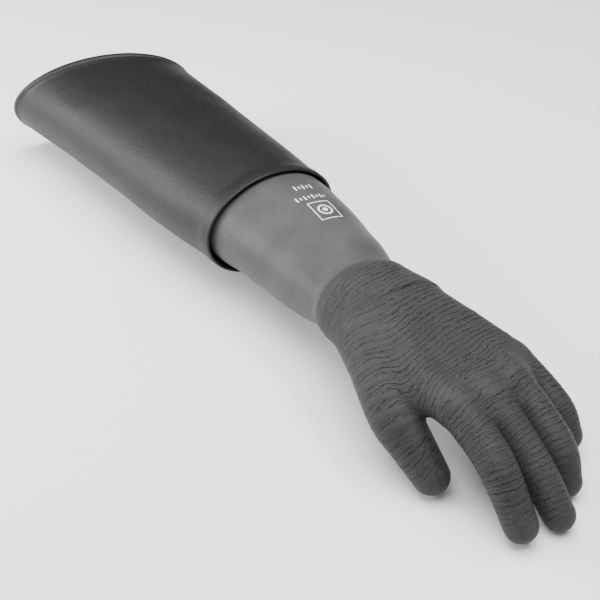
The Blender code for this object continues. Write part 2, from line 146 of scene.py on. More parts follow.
def in_hand(place):
    """World point from millimetres ahead, aside and up of the wrist."""
    return WRIST + (AHEAD * place[0] + SIDE * place[1] + UP * place[2]) * MM


def to_hand(points):
    """Millimetres ahead, aside and up of the wrist."""
    return np.stack([(points - WRIST) @ AHEAD, (points - WRIST) @ SIDE, (points - WRIST) @ UP], 1) / MM


# Palm by distance ahead of the wrist: (place, width between the outer bones, radius), in mm
PALM = ((-21, 30, 24.8), (10.6, 42, 22.8), (38.6, 58, 18.6), (64.6, 69, 15.0))
PALM_END = 8.0
PALM_END_RADIUS = 12.7
LANES = {"index": -1.0, "middle": -0.34, "ring": 0.34, "little": 0.97}
PALM_BLEND = 14 * MM
ARM_BLEND = 5 * MM
KNUCKLE_BLEND = 6 * MM
FINGER_BLEND = 1.2 * MM
THUMB_BLEND = 9 * MM
THUMB_WEB_BLEND = 10 * MM
# Skin between two fingers: how far it starts behind their flex lines and ends past them, in mm
FINGER_WEBS = {("index", "middle"): (14.0, 11.0), ("middle", "ring"): (14.0, 9.0),
               ("ring", "little"): (14.0, 9.0)}
FINGER_WEB_RADII = (12.2, 11.6, 9.6)
# Radius of each finger at its base and at its tip
FINGER_RADII = {"index": (12.7, 10.9), "middle": (12.9, 10.4), "ring": (12.9, 10.7), "little": (11.6, 10.1)}
FINGER_START = 20.0
THUMB_PATH = ((-18, -19, -1), (6.4, -28, -1.4), (32.5, -42.0, -9.0))
THUMB_RADII = (15.0, 20.8, 18.9, 16.6, 14.9, 12.2)
WEB_PATH = ((15, -34, -4), (41, -41, -7), (64, -39, -2))
WEB_RADII = (15.0, 10.5, 9.0)
SIDE_SQUEEZE = 1.02


def curve_through(points, count):
    """Catmull-Rom curve with count steps between each two points."""
    points = [np.asarray(p, float) for p in points]
    ends = [2 * points[0] - points[1]] + points + [2 * points[-1] - points[-2]]
    made = []
    for i in range(1, len(ends) - 2):
        before, start, end, after = ends[i - 1:i + 3]
        for step in range(count):
            t = step / count
            made.append(0.5 * (2 * start + (end - before) * t
                               + (2 * before - 5 * start + 4 * end - after) * t * t
                               + (3 * start - before - 3 * end + after) * t ** 3))
    made.append(points[-1])
    return made


class Chain:
    """Round bones of falling radius along a path, narrower to the sides than up and down."""

    def __init__(self, path, radii, side=None, start=0.0):
        self.path = [np.asarray(p, float) for p in path]
        shares = np.linspace(0, 1, len(radii))
        self.radii = np.interp(np.linspace(0, 1, len(path)), shares, np.array(radii) * MM)
        self.side = side
        lengths = [np.linalg.norm(b - a) for a, b in zip(self.path, self.path[1:])]
        self.places = np.concatenate([[0], np.cumsum(lengths)]) + start

    def measure(self, points):
        """Distance to the surface and place along the path, both in metres."""
        squeezed = points
        path = self.path
        if self.side is not None:
            origin = path[0]
            squeezed = points + np.outer((points - origin) @ self.side, self.side) * (SIDE_SQUEEZE - 1)
            path = [p + ((p - origin) @ self.side) * self.side * (SIDE_SQUEEZE - 1) for p in path]
        best = np.full(len(points), 1e9)
        place = np.zeros(len(points))
        for i in range(len(path) - 1):
            bone = path[i + 1] - path[i]
            share = np.clip(((squeezed - path[i]) @ bone) / (bone @ bone), 0, 1)
            radius = self.radii[i] + (self.radii[i + 1] - self.radii[i]) * share
            gap = np.linalg.norm(squeezed - path[i] - share[:, None] * bone, axis=1) - radius
            nearer = gap < best
            best = np.where(nearer, gap, best)
            place = np.where(nearer, self.places[i] + (self.places[i + 1] - self.places[i]) * share, place)
        return best, place


def finger_chain(name):
    """From inside the palm over both flex lines to the middle of the fingertip."""
    knuckle, middle, tip = KNUCKLES[name], MIDDLES[name], TIPS[name]
    first, end = FINGER_RADII[name]
    radii = (first - 3.5, first, 0.5 * first + 0.5 * end + 0.35, end)
    splay = unit(np.cross(AXES[name], UP))
    last = tip - unit(tip - middle) * radii[-1] * MM
    path = curve_through([knuckle - splay * FINGER_START * MM, knuckle, middle, last], 6)
    start = (knuckle - WRIST) @ AHEAD - FINGER_START * MM
    return Chain(path, radii, AXES[name], start)


def thumb_chain():
    knuckle, middle, tip = KNUCKLES["thumb"], MIDDLES["thumb"], TIPS["thumb"]
    last = tip - unit(tip - middle) * THUMB_RADII[-1] * MM
    path = curve_through([in_hand(p) for p in THUMB_PATH] + [knuckle, middle, last], 3)
    return Chain(path, THUMB_RADII, None, -8 * MM)


def palm_chains():
    """From the wrist to behind the knuckle, one to each finger."""
    chains = []
    for name in FINGERS:
        path = [in_hand((place, LANES[name] * width / 2 - 1.0, 0)) for place, width, _ in PALM]
        path.append(KNUCKLES[name] - unit(np.cross(AXES[name], UP)) * PALM_END * MM)
        chains.append(Chain(path, [radius for _, _, radius in PALM] + [PALM_END_RADIUS]))
    return chains


def finger_web(first, second):
    """From inside the palm to the skin between two fingers."""
    before, beyond = FINGER_WEBS[first, second]
    middle = (KNUCKLES[first] + KNUCKLES[second]) / 2
    way = unit(MIDDLES[first] - KNUCKLES[first] + MIDDLES[second] - KNUCKLES[second])
    return Chain([middle - AHEAD * before * MM, middle, middle + way * beyond * MM], FINGER_WEB_RADII)


FINGER_CHAINS = {name: finger_chain(name) for name in FINGERS}
THUMB_CHAIN = thumb_chain()
PALM_CHAINS = palm_chains()
WEB_CHAINS = [finger_web(*pair) for pair in FINGER_WEBS]
WEB_CHAIN = Chain([in_hand(p) for p in WEB_PATH], WEB_RADII)

# The forearm's top rises by twice this from the sleeve's end to the coat's edge
ARM_LIFT = 1.3 * MM
ARM_LIFT_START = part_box("sleeve_lower_hem")[1].x
ARM_LIFT_END = WRIST[0] - 35 * MM


def read_arm():
    """Places along the forearm's solid, and its oval's middle and half sizes there, evened out."""
    points = np.array([v.co for v in frame["nodes"]["gauntlet_shell"].data.vertices], float)
    stations = []
    for place in np.linspace(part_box("gauntlet_shell")[0].x, WRIST[0] - 32 * MM, 9):
        near = points[np.argsort(np.abs(points[:, 0] - place))[:24]]
        ring = points[np.abs(points[:, 0] - near[0, 0]) < 2 * MM]
        centre = (ring.min(0) + ring.max(0)) / 2
        half = (ring.max(0) - ring.min(0)) / 2
        stations.append((near[0, 0], centre[1], centre[2], half[1], half[2]))
    stations.append((*WRIST, 40 * MM, 27.5 * MM))
    stations.append((WRIST[0] + 30 * MM, WRIST[1], WRIST[2], 40 * MM, 25 * MM))
    table = np.array(sorted({round(s[0], 4): s for s in stations}.values()))
    places = np.linspace(table[0, 0], table[-1, 0], 200)
    kernel = np.hanning(25)
    made = []
    for column in range(1, 5):
        line = np.pad(np.interp(places, table[:, 0], table[:, column]), 12, mode="edge")
        made.append(np.convolve(line, kernel / kernel.sum(), mode="valid"))
    return places, made


ARM_PLACES, ARM_LINES = read_arm()


def arm_oval(places):
    """Side, level, half width and half height of the forearm at each place."""
    side, level, half_width, half_height = [np.interp(places, ARM_PLACES, line) for line in ARM_LINES]
    lift = ARM_LIFT * step_up(places, ARM_LIFT_START, ARM_LIFT_END)
    return side, level + lift, half_width, half_height + lift


def arm_distance(points):
    side, level, half_width, half_height = arm_oval(points[:, 0])
    across = (points[:, 1] - side) / half_width
    upward = (points[:, 2] - level) / half_height
    oval = (np.sqrt(across ** 2 + upward ** 2 + 1e-9) - 1) * np.minimum(half_width, half_height)
    return np.maximum(oval, points[:, 0] - (WRIST[0] + 4 * MM))


def blended(points, chains, width, gap=None):
    """Distance to the nearest of some chains, rounded where they are closer than width."""
    for chain in chains:
        value = chain.measure(points)[0]
        gap = value if gap is None else smooth_min(gap, value, width)
    return gap


def hand_distance(points):
    """Signed distance to the smooth skin of the hand, about true near the surface."""
    palm = smooth_min(blended(points, PALM_CHAINS, PALM_BLEND), arm_distance(points), ARM_BLEND)
    palm = blended(points, WEB_CHAINS, KNUCKLE_BLEND, palm)
    fingers = blended(points, FINGER_CHAINS.values(), FINGER_BLEND)
    thumb = blended(points, (THUMB_CHAIN, WEB_CHAIN), THUMB_WEB_BLEND)
    return smooth_min(smooth_min(palm, fingers, KNUCKLE_BLEND), thumb, THUMB_BLEND)


def slope(points, size=0.15 * MM):
    """How the distance to the skin changes along each axis."""
    made = np.zeros_like(points)
    for i in range(3):
        shift = np.zeros(3)
        shift[i] = size
        made[:, i] = (hand_distance(points + shift) - hand_distance(points - shift)) / (2 * size)
    return made


def settle(points, offset=0.0, rounds=4):
    """Move points onto the skin, or onto a layer at an offset from it."""
    for _ in range(rounds):
        value = hand_distance(points) - offset
        way = slope(points)
        points = points - way * (value / np.maximum((way ** 2).sum(1), 0.05))[:, None]
    return points


# Meshes ----------------------------------------------------

def link(obj):
    """Put an object into the scene."""
    bpy.context.scene.collection.objects.link(obj)
    return obj


def mesh_object(name, points, faces):
    mesh = bpy.data.meshes.new(name)
    mesh.from_pydata([tuple(p) for p in points], [], [tuple(int(i) for i in f) for f in faces])
    mesh.validate()
    mesh.shade_smooth()
    return link(bpy.data.objects.new(name, mesh))


def ball_points(centre, radius):
    """Points of a ball, in seven rings of twelve."""
    turn, spin = np.meshgrid(np.arange(1, 8) * math.pi / 8, np.arange(12) * math.pi / 6, indexing="ij")
    ways = np.stack([np.sin(turn) * np.cos(spin), np.sin(turn) * np.sin(spin), np.cos(turn)], 2)
    return list(centre + radius * ways.reshape(-1, 3))


def rough_hand(grow):
    """Closed hulls round every bone, joined by a voxel remesh."""
    builder = bmesh.new()
    chains = PALM_CHAINS + WEB_CHAINS + list(FINGER_CHAINS.values()) + [THUMB_CHAIN, WEB_CHAIN]
    for chain in chains:
        for i in range(len(chain.path) - 1):
            points = ball_points(chain.path[i], chain.radii[i] + grow)
            points += ball_points(chain.path[i + 1], chain.radii[i + 1] + grow)
            verts = [builder.verts.new(p) for p in points]
            made = bmesh.ops.convex_hull(builder, input=verts)
            loose = [v for v in made["geom_interior"] + made["geom_unused"]
                     if isinstance(v, bmesh.types.BMVert)]
            bmesh.ops.delete(builder, geom=list(set(loose)), context="VERTS")
    turns = np.linspace(0, 2 * math.pi, 40, endpoint=False)
    rings = [[builder.verts.new(p) for p in arm_ring(place, -grow, turns)]
             for place in np.linspace(WRIST[0] - 50 * MM, WRIST[0] + 20 * MM, 8)]
    for lower, upper in zip(rings, rings[1:]):
        for i in range(len(turns)):
            j = (i + 1) % len(turns)
            builder.faces.new((lower[i], lower[j], upper[j], upper[i]))
    builder.faces.new(reversed(rings[0]))
    builder.faces.new(rings[-1])
    bmesh.ops.recalc_face_normals(builder, faces=builder.faces)
    mesh = bpy.data.meshes.new("rough_hand")
    builder.to_mesh(mesh)
    builder.free()
    return link(bpy.data.objects.new("rough_hand", mesh))


def finer(points, faces):
    """One round of Catmull-Clark subdivision."""
    obj = mesh_object("finer", points, faces)
    split = obj.modifiers.new("split", "SUBSURF")
    split.levels = 1
    split.render_levels = 1
    return take_quads(obj)


def take_quads(obj):
    """Points and quads of an object with its modifiers on; the object itself goes."""
    mesh = bpy.data.meshes.new_from_object(obj.evaluated_get(bpy.context.evaluated_depsgraph_get()))
    points = np.zeros(len(mesh.vertices) * 3)
    mesh.vertices.foreach_get("co", points)
    quads = np.zeros(len(mesh.loops), dtype=np.int32)
    mesh.loops.foreach_get("vertex_index", quads)
    bpy.data.objects.remove(obj, do_unlink=True)
    bpy.data.meshes.remove(mesh)
    return points.reshape(-1, 3), quads.reshape(-1, 4)


def hand_mesh(voxel, offset):
    """Points and faces of the settled skin at an offset, as arrays."""
    rough = rough_hand(offset)
    remesh = rough.modifiers.new("even", "REMESH")
    remesh.mode = "VOXEL"
    remesh.voxel_size = voxel
    points, faces = take_quads(rough)
    points = settle(points, offset)
    points = relax(points, faces, 2)
    points = settle(points, offset, 2)
    return points, faces


def relax(points, faces, rounds):
    """Even the spacing by moving every point towards the middle of its neighbours."""
    links = np.concatenate([faces[:, [0, 1]], faces[:, [1, 2]], faces[:, [2, 3]], faces[:, [3, 0]]])
    links = np.concatenate([links, links[:, ::-1]])
    count = np.bincount(links[:, 0], minlength=len(points)).astype(float)
    for _ in range(rounds):
        total = np.stack([np.bincount(links[:, 0], points[links[:, 1], i], len(points))
                          for i in range(3)], 1)
        points = 0.4 * points + 0.6 * total / np.maximum(count, 1)[:, None]
    return points


def corner_normals(points, faces):
    """Area-weighted normals at the points."""
    across = np.cross(points[faces[:, 2]] - points[faces[:, 0]], points[faces[:, 3]] - points[faces[:, 1]])
    normals = np.zeros_like(points)
    for i in range(4):
        for axis in range(3):
            normals[:, axis] += np.bincount(faces[:, i], across[:, axis], len(points))
    return normals / np.maximum(np.linalg.norm(normals, axis=1), 1e-12)[:, None]


# How far the creases lean towards the wrist on the little finger's side, on the palm and on the thumb
PALM_LEAN = 0.10
THUMB_LEAN = 0.42
THUMB_MIDDLE = -40.0


def limb_places(points):
    """Millimetres along the limb at each point, passing smoothly from bone to bone."""
    hand = to_hand(points)
    gaps = [np.minimum.reduce([c.measure(points)[0] for c in PALM_CHAINS] + [arm_distance(points)])]
    places = [hand[:, 0] + PALM_LEAN * hand[:, 1]]
    for chain in FINGER_CHAINS.values():
        gap, place = chain.measure(points)
        gaps.append(gap)
        places.append(place / MM)
    gap, place = THUMB_CHAIN.measure(points)
    gaps.append(gap)
    places.append(place / MM + THUMB_LEAN * (hand[:, 1] - THUMB_MIDDLE))
    gaps = np.array(gaps)
    weights = np.exp(-(gaps - gaps.min(0)) / (3.5 * MM))
    return (weights * np.array(places)).sum(0) / weights.sum(0), hand


# Where the pieces of the skin meet: distances along a digit from its flex lines, in mm
BASE_BLEND = {"thumb": (-2.0, 13.0), "index": (-6.0, 24.0), "middle": (-6.0, 24.0),
              "ring": (-6.0, 24.0), "little": (-6.0, 23.0)}
TIP_BLEND = {"thumb": (-7.0, 7.0), "index": (-10.0, 10.0), "middle": (-10.0, 10.0),
             "ring": (-10.0, 10.0), "little": (-9.0, 9.0)}
WRIST_BLEND = (-27.0, 28.0)


def blend_ends(name, part):
    """Where the blend at a digit's base or tip flex line starts and ends."""
    along = unit(MIDDLES[name] - KNUCKLES[name])
    if part == "base":
        before = along if name == "thumb" else unit(np.cross(AXES[name], UP))
        way, place, span = unit(before + along), KNUCKLES[name], BASE_BLEND[name]
    else:
        way, place, span = unit(along + unit(TIPS[name] - MIDDLES[name])), MIDDLES[name], TIP_BLEND[name]
    return place + way * span[0] * MM, place + way * span[1] * MM


def past(points, name, part):
    """Metres past the start of a digit's blend."""
    start, end = blend_ends(name, part)
    return (points - start) @ unit(end - start)


def sort_faces(centres):
    """Piece name of each face: wrist, palm, or the base or tip length of a digit."""
    gaps = [np.minimum.reduce([c.measure(centres)[0] for c in PALM_CHAINS])]
    for name in DIGITS:
        chain = THUMB_CHAIN if name == "thumb" else FINGER_CHAINS[name]
        gaps.append(chain.measure(centres)[0])
    digit = np.argmin(np.array(gaps[1:]), axis=0)
    made = np.full(len(centres), "palm", dtype=object)
    made[(centres - WRIST) @ AHEAD < WRIST_BLEND[1] * MM] = "wrist"
    for i, name in enumerate(DIGITS):
        mine = (digit == i) & (past(centres, name, "base") > 0)
        made[mine] = name + "_base"
        made[mine & (past(centres, name, "tip") > 0)] = name + "_tip"
    return made


def make_pieces(prefix, points, faces, normals, extras, material, layer):
    """Divide a layer of the hand into its pieces, hang the palm on the hand's body and hide the solids of
    the palm and the digits.
    """
    centres = points[faces].mean(1)
    labels = sort_faces(centres)
    for label in ["wrist", "palm"] + [n + part for n in DIGITS for part in ("_base", "_tip")]:
        mine = faces[labels == label]
        used, inverse = np.unique(mine, return_inverse=True)
        obj = mesh_object(prefix + "_" + label, points[used], inverse.reshape(-1, 4))
        for extra, values in extras.items():
            kind, field = ("FLOAT", "value") if values.ndim == 1 else ("FLOAT_VECTOR", "vector")
            attribute = obj.data.attributes.new(extra, kind, "POINT")
            attribute.data.foreach_set(field, values[used].astype(np.float32).ravel())
        obj.data.normals_split_custom_set_from_vertices([tuple(n) for n in normals[used]])
        obj.data.materials.append(material)
        if label == "wrist":
            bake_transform(obj)
        elif label == "palm":
            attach(obj, HAND)
            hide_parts("hand_" + layer)
        else:
            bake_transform(obj)
            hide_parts(label + "_" + layer)


# Materials -------------------------------------------------

class Nodes:
    """A material's node tree with short calls for the nodes used here."""

    def __init__(self, name, roughness, **values):
        self.material = bpy.data.materials.new(name)
        self.material.use_nodes = True
        self.tree = self.material.node_tree
        self.shader = self.tree.nodes["Principled BSDF"]
        self.shader.inputs["Roughness"].default_value = roughness
        for key, value in values.items():
            self.shader.inputs[key.replace("_", " ")].default_value = value

    def put(self, socket, value):
        """Join a socket to another one, or set its own value."""
        if hasattr(value, "is_linked"):
            self.tree.links.new(value, socket)
        elif socket.type == "RGBA":
            socket.default_value = (*value, 1.0)
        else:
            socket.default_value = value

    def add(self, kind, values):
        """A new node whose inputs, by name or number, are joined or set."""
        node = self.tree.nodes.new("ShaderNode" + kind)
        for key, value in values.items():
            self.put(node.inputs[key], value)
        return node

    def place(self, scale=(1, 1, 1)):
        """Object coordinates times a scale along each axis."""
        where = self.add("TexCoord", {}).outputs["Object"]
        return self.add("Mapping", {"Scale": scale, "Vector": where}).outputs["Vector"]

    def noise(self, vector, scale, detail=3.0, roughness=0.5, distortion=0.0):
        values = {"Scale": scale, "Detail": detail, "Roughness": roughness, "Distortion": distortion}
        return self.add("TexNoise", {**values, "Vector": vector}).outputs["Fac"]

    def cells(self, vector, scale):
        return self.add("TexVoronoi", {"Scale": scale, "Vector": vector}).outputs["Distance"]

    def attribute(self, name):
        node = self.add("Attribute", {})
        node.attribute_name = name
        return node

    def rows(self, limb, pitch, width, reach, seed):
        """Fine broken lines across a limb, one to a row: 1 on a line and 0 off it.

        limb holds the place along the limb and the two places across it, in mm like the sizes here.
        """
        along, across, upward = self.add("SeparateXYZ", {0: limb}).outputs
        phase = self.maths("DIVIDE", along, pitch)
        row = self.maths("FLOOR", phase)
        part = self.maths("SUBTRACT", self.maths("FRACT", phase), 0.5)
        cell = self.add("CombineXYZ", {0: self.maths("MULTIPLY_ADD", row, 7.31, seed),
                                       1: self.maths("DIVIDE", across, reach),
                                       2: self.maths("DIVIDE", upward, reach)}).outputs[0]
        wander = self.maths("SUBTRACT", self.noise(cell, 1.0, 3, 0.6), 0.5)
        away = self.maths("ABSOLUTE", self.maths("SUBTRACT", part, self.times(wander, 0.9)))
        line = self.ramp(self.times(away, pitch / width), ((0.25, 1.0), (1.0, 0.0)))
        gaps = self.ramp(self.noise(cell, 1.7, 3, 0.65), ((0.38, 0.25), (0.52, 1.0)))
        beads = self.ramp(self.noise(limb, 0.75, 2, 0.5), ((0.36, 0.45), (0.56, 1.0)))
        return self.times(self.times(line, gaps), beads)

    def ramp(self, value, stops):
        """Greys between stops, each of them a place and a shade."""
        node = self.add("ValToRGB", {"Fac": value})
        while len(node.color_ramp.elements) < len(stops):
            node.color_ramp.elements.new(0.5)
        for element, (position, shade) in zip(node.color_ramp.elements, stops):
            element.position = position
            element.color = (shade, shade, shade, 1.0)
        return node.outputs["Color"]

    def maths(self, operation, first, second=0.0, third=0.0):
        node = self.add("Math", {0: first, 1: second, 2: third})
        node.operation = operation
        return node.outputs[0]

    def times(self, first, second):
        return self.maths("MULTIPLY", first, second)

    def plus(self, first, second):
        return self.maths("ADD", first, second)

    def mix(self, share, first, second):
        node = self.add("Mix", {})
        node.data_type = "RGBA"
        for number, value in ((0, share), (6, first), (7, second)):
            self.put(node.inputs[number], value)
        return node.outputs[2]

    def bump(self, height, strength, distance, under=None):
        node = self.add("Bump", {"Strength": strength, "Distance": distance, "Height": height})
        if under is not None:
            self.put(node.inputs["Normal"], under)
        return node.outputs["Normal"]

    def paint(self, color=None, roughness=None, normal=None):
        for value, name in ((color, "Base Color"), (roughness, "Roughness"), (normal, "Normal")):
            if value is not None:
                self.put(self.shader.inputs[name], value)
        return self.material


# Spacing of the hand's main creases, in mm
CREASE_PITCH = 3.7


def crinkled_rubber():
    """Dark grainy dipped rubber with fine broken creases across the limb, bumped in and painted near-black
    as painted shade.
    """
    nodes = Nodes("crinkled_rubber", 0.6, Specular_IOR_Level=0.14)
    here = nodes.place()
    limb = nodes.attribute("limb").outputs["Vector"]
    depth = nodes.attribute("crease").outputs["Fac"]
    creases = nodes.rows(limb, CREASE_PITCH, 0.62, 9.0, 3.0)
    hairs = nodes.rows(limb, 2.1, 0.42, 5.0, 40.0)
    crease_bump_and_shade = nodes.maths("MAXIMUM", creases, nodes.times(hairs, 0.55))
    crease_bump_and_shade = nodes.times(crease_bump_and_shade, depth)
    grain = nodes.noise(here, 800, 4, 0.7)
    cloud = nodes.noise(here, 40, 3, 0.5)
    base = nodes.ramp(cloud, ((0.3, 0.036), (0.7, 0.046)))
    speckled = nodes.mix(nodes.ramp(grain, ((0.40, 0.0), (0.62, 0.6))), base, (0.020, 0.020, 0.021))
    # The crease lines are painted near-black: painted shade in the hollows of the creases, besides their
    # bump.
    color = nodes.mix(crease_bump_and_shade, speckled, (0.003, 0.003, 0.0032))
    rough = nodes.plus(nodes.times(grain, 0.2), 0.48)
    normal = nodes.bump(nodes.cells(here, 700), 0.22, 0.0004)
    normal = nodes.bump(grain, 0.45, 0.0005, normal)
    normal = nodes.bump(nodes.maths("SUBTRACT", 1.0, crease_bump_and_shade), 0.55, 0.0003, normal)
    return nodes.paint(color, rough, normal)


def smooth_rubber():
    """Smooth matt dipped rubber, faintly mottled, with a few fine scratches."""
    nodes = Nodes("smooth_rubber", 0.5, Specular_IOR_Level=0.14)
    here = nodes.place()
    mottle = nodes.noise(here, 28, 5, 0.6)
    fine = nodes.noise(here, 300, 4, 0.6)
    base = nodes.ramp(mottle, ((0.3, 0.054), (0.7, 0.084)))
    streaks = nodes.noise(nodes.place((45, 700, 700)), 1.0, 2, 0.5, 0.4)
    scratch = nodes.ramp(streaks, ((0.695, 0.0), (0.725, 1.0)))
    color = nodes.mix(nodes.times(scratch, 0.6), base, (0.030, 0.030, 0.031))
    color = nodes.mix(nodes.times(fine, 0.30), color, (0.035, 0.035, 0.036))
    rough = nodes.plus(nodes.times(mottle, 0.16), 0.38)
    normal = nodes.bump(fine, 0.25, 0.0004)
    normal = nodes.bump(mottle, 0.25, 0.0012, normal)
    return nodes.paint(color, rough, normal)


def coated_fabric():
    """Black coated cloth with a fine leather-like grain and a satin sheen."""
    nodes = Nodes("coated_fabric", 0.42, Specular_IOR_Level=0.37)
    here = nodes.place()
    pebble = nodes.cells(here, 620)
    grain = nodes.noise(here, 480, 4, 0.65, 0.3)
    dimple = nodes.noise(here, 190, 3, 0.6)
    cloud = nodes.noise(here, 16, 4, 0.55)
    color = nodes.ramp(cloud, ((0.3, 0.0024), (0.7, 0.0038)))
    color = nodes.mix(nodes.times(grain, 0.4), color, (0.0015, 0.0015, 0.0016))
    rough = nodes.plus(nodes.times(cloud, 0.10), 0.41)
    rough = nodes.plus(nodes.times(grain, 0.14), rough)
    normal = nodes.bump(dimple, 0.14, 0.0010)
    normal = nodes.bump(pebble, 0.34, 0.0004, normal)
    normal = nodes.bump(grain, 0.50, 0.0005, normal)
    return nodes.paint(color, rough, normal)


def brushed_cloth(name, dark, pale, weave):
    """Brushed knit or woven backing: rows of small loops under a soft nap."""
    nodes = Nodes(name, 0.95, Specular_IOR_Level=0.2, Sheen_Weight=0.25, Sheen_Roughness=0.6)
    here = nodes.place()
    rows = nodes.cells(nodes.place((weave, weave * 1.4, weave * 1.4)), 1.0)
    fuzz = nodes.noise(here, 700, 4, 0.7)
    color = nodes.mix(nodes.times(rows, 0.8), pale, dark)
    color = nodes.mix(nodes.times(fuzz, 0.35), color, dark)
    normal = nodes.bump(rows, 0.6, 0.0008)
    normal = nodes.bump(fuzz, 0.4, 0.0005, normal)
    return nodes.paint(color, None, normal)


def sewing_thread():
    nodes = Nodes("black_thread", 0.7, Specular_IOR_Level=0.3)
    here = nodes.place()
    twist = nodes.noise(here, 2500, 2, 0.5)
    color = nodes.ramp(twist, ((0.35, 0.05), (0.65, 0.13)))
    return nodes.paint(color, None, nodes.bump(twist, 0.5, 0.0002))


def print_ink():
    nodes = Nodes("white_print", 0.6, Specular_IOR_Level=0.4)
    here = nodes.place()
    wear = nodes.noise(here, 420, 5, 0.7)
    color = nodes.ramp(wear, ((0.30, 0.35), (0.42, 0.78), (1.0, 0.86)))
    return nodes.paint(color, None, nodes.bump(wear, 0.1, 0.0002))


CRINKLED = crinkled_rubber()
SMOOTH = smooth_rubber()
FABRIC = coated_fabric()
KNIT = brushed_cloth("knitted_lining", (0.30, 0.28, 0.25), (0.62, 0.59, 0.54), 700)
BACKING = brushed_cloth("sleeve_lining_cloth", (0.03, 0.03, 0.031), (0.09, 0.09, 0.092), 1100)
THREAD = sewing_thread()
INK = print_ink()


# Hand ------------------------------------------------------

COAT_EDGE = WRIST[0] - 35.5 * MM


def coat_edge(points):
    """Place along the arm where the crinkled coat ends, a little wavy round the wrist."""
    turn = np.arctan2(points[:, 2] - WRIST[2], points[:, 1] - WRIST[1])
    wave = noise(np.stack([np.cos(turn) * 1.6, np.sin(turn) * 1.6, turn * 0], 1) + 7.3, 5)
    return COAT_EDGE + 1.3 * MM * wave


def limb_field(points):
    """Place along the limb, drifting as the creases do, and the two places across it, in mm."""
    along, hand = limb_places(points)
    drift = noise(hand / 26.0, 11) * 2.2 + noise(hand / 9.0, 12) * 0.6
    return np.stack([along + drift, hand[:, 1], hand[:, 2]], 1)


def steepness(points, faces, along):
    """How fast a value given in mm changes over the skin, per mm."""
    total = np.zeros(len(points))
    count = np.zeros(len(points))
    for i in range(4):
        first, second = faces[:, i], faces[:, (i + 1) % 4]
        gap = np.linalg.norm(points[first] - points[second], axis=1)
        rate = np.abs(along[first] - along[second]) * MM / gap
        for end in (first, second):
            total += np.bincount(end, rate ** 2, len(points))
            count += np.bincount(end, minlength=len(points))
    return np.sqrt(2 * total / np.maximum(count, 1))


def crinkle(points, faces, field):
    """Depth in metres of the soft hollows between creases, and how strong the creases are."""
    hand = to_hand(points)
    strength = 0.7 + 0.3 * step_up(noise(hand / 19.0, 13), -0.5, 0.4)
    strength *= step_up(points[:, 0] - coat_edge(points), 5 * MM, 14 * MM)
    strength *= step_up(steepness(points, faces, field[:, 0]), 0.3, 0.75)
    for name in DIGITS:
        reach = np.linalg.norm(points - TIPS[name], axis=1) / MM
        strength = np.minimum(strength, 0.2 + 0.8 * step_up(reach, 6, 26))
    swell = np.cos(2 * math.pi * field[:, 0] / CREASE_PITCH) + 0.6 * noise(field / (2.4, 7.0, 7.0), 16)
    pits = noise(hand / 1.3, 14) + 0.5 * noise(hand / 0.7, 15)
    return (0.075 * swell * strength + 0.03 * pits) * MM, strength


def drop_arm(points, faces, edge):
    """Keep the faces past the coat's edge."""
    faces = faces[points[faces].mean(1)[:, 0] > edge[faces].mean(1)]
    used, inverse = np.unique(faces, return_inverse=True)
    return points[used], inverse.reshape(-1, 4)


def make_hand_skin():
    points, faces = finer(*hand_mesh(SKIN_VOXEL, 0.0))
    # The coat's end follows its wavy edge exactly
    edge = coat_edge(points)
    near = np.abs(points[:, 0] - edge) < SKIN_VOXEL * 0.45
    points[near, 0] = edge[near]
    points, faces = drop_arm(points, faces, edge)
    normals = corner_normals(points, faces)
    if np.mean((normals * slope(points)).sum(1)) < 0:
        faces = faces[:, ::-1]
        normals = -normals
    field = limb_field(points)
    depth, crease = crinkle(points, faces, field)
    rim = step_up(points[:, 0] - coat_edge(points), 0, 3.5 * MM)
    points = points + normals * (COAT_STEP * (0.4 + 0.6 * rim) - depth)[:, None]
    normals = corner_normals(points, faces)
    make_pieces("skin", points, faces, normals, {"limb": field, "crease": crease}, CRINKLED,
                "shell")


def make_hand_lining():
    points, faces = hand_mesh(LINING_VOXEL, -LINING_DEPTH)
    points, faces = drop_arm(points, faces, np.full(len(points), COAT_EDGE + 2 * MM))
    normals = corner_normals(points, faces)
    if np.mean((normals * slope(points)).sum(1)) > 0:
        faces = faces[:, ::-1]
        normals = -normals
    make_pieces("lining", points, faces, normals, {}, KNIT, "lining")


# Tubes -----------------------------------------------------

def grid_faces(rows, columns, start=0):
    """Quads of a grid of points, numbered from start, that closes round its columns."""
    made = []
    for i in range(rows - 1):
        near = start + i * columns
        far = near + columns
        for j in range(columns):
            k = (j + 1) % columns
            made.append((near + j, near + k, far + k, far + j))
    return made


def ring_tube(name, rows, material, closed=False):
    """A tube through rows of points; closed joins the last row to the first as well."""
    count = len(rows[0])
    points = np.concatenate(rows)
    faces = grid_faces(len(rows), count)
    if closed:
        last = len(points) - count
        faces += [(last + j, last + (j + 1) % count, (j + 1) % count, j) for j in range(count)]
    obj = mesh_object(name, points, faces)
    builder = bmesh.new()
    builder.from_mesh(obj.data)
    bmesh.ops.recalc_face_normals(builder, faces=builder.faces)
    builder.to_mesh(obj.data)
    builder.free()
    obj.data.materials.append(material)
    return obj


def flip_if_inward(obj, centre_of):
    """Turn the faces of an open tube so that they look away from its axis."""
    mesh = obj.data
    total = 0.0
    for polygon in list(mesh.polygons)[::7]:
        centre = polygon.center
        total += polygon.normal.dot(centre - centre_of(centre))
    if total < 0:
        mesh.flip_normals()


TURNS = np.linspace(0, 2 * math.pi, 181)[:-1]
GAUNTLET_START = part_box("gauntlet_shell")[0].x


def arm_ring(place, inset, turns=TURNS):
    side, level, half_width, half_height = [v[0] for v in arm_oval(np.array([place]))]
    ring = np.zeros((len(turns), 3))
    ring[:, 0] = place
    ring[:, 1] = side + (half_width - inset) * np.cos(turns)
    ring[:, 2] = level + (half_height - inset) * np.sin(turns)
    return ring


def arm_axis(point):
    side, level, _, _ = arm_oval(np.array([point.x]))
    return Vector((point.x, side[0], level[0]))


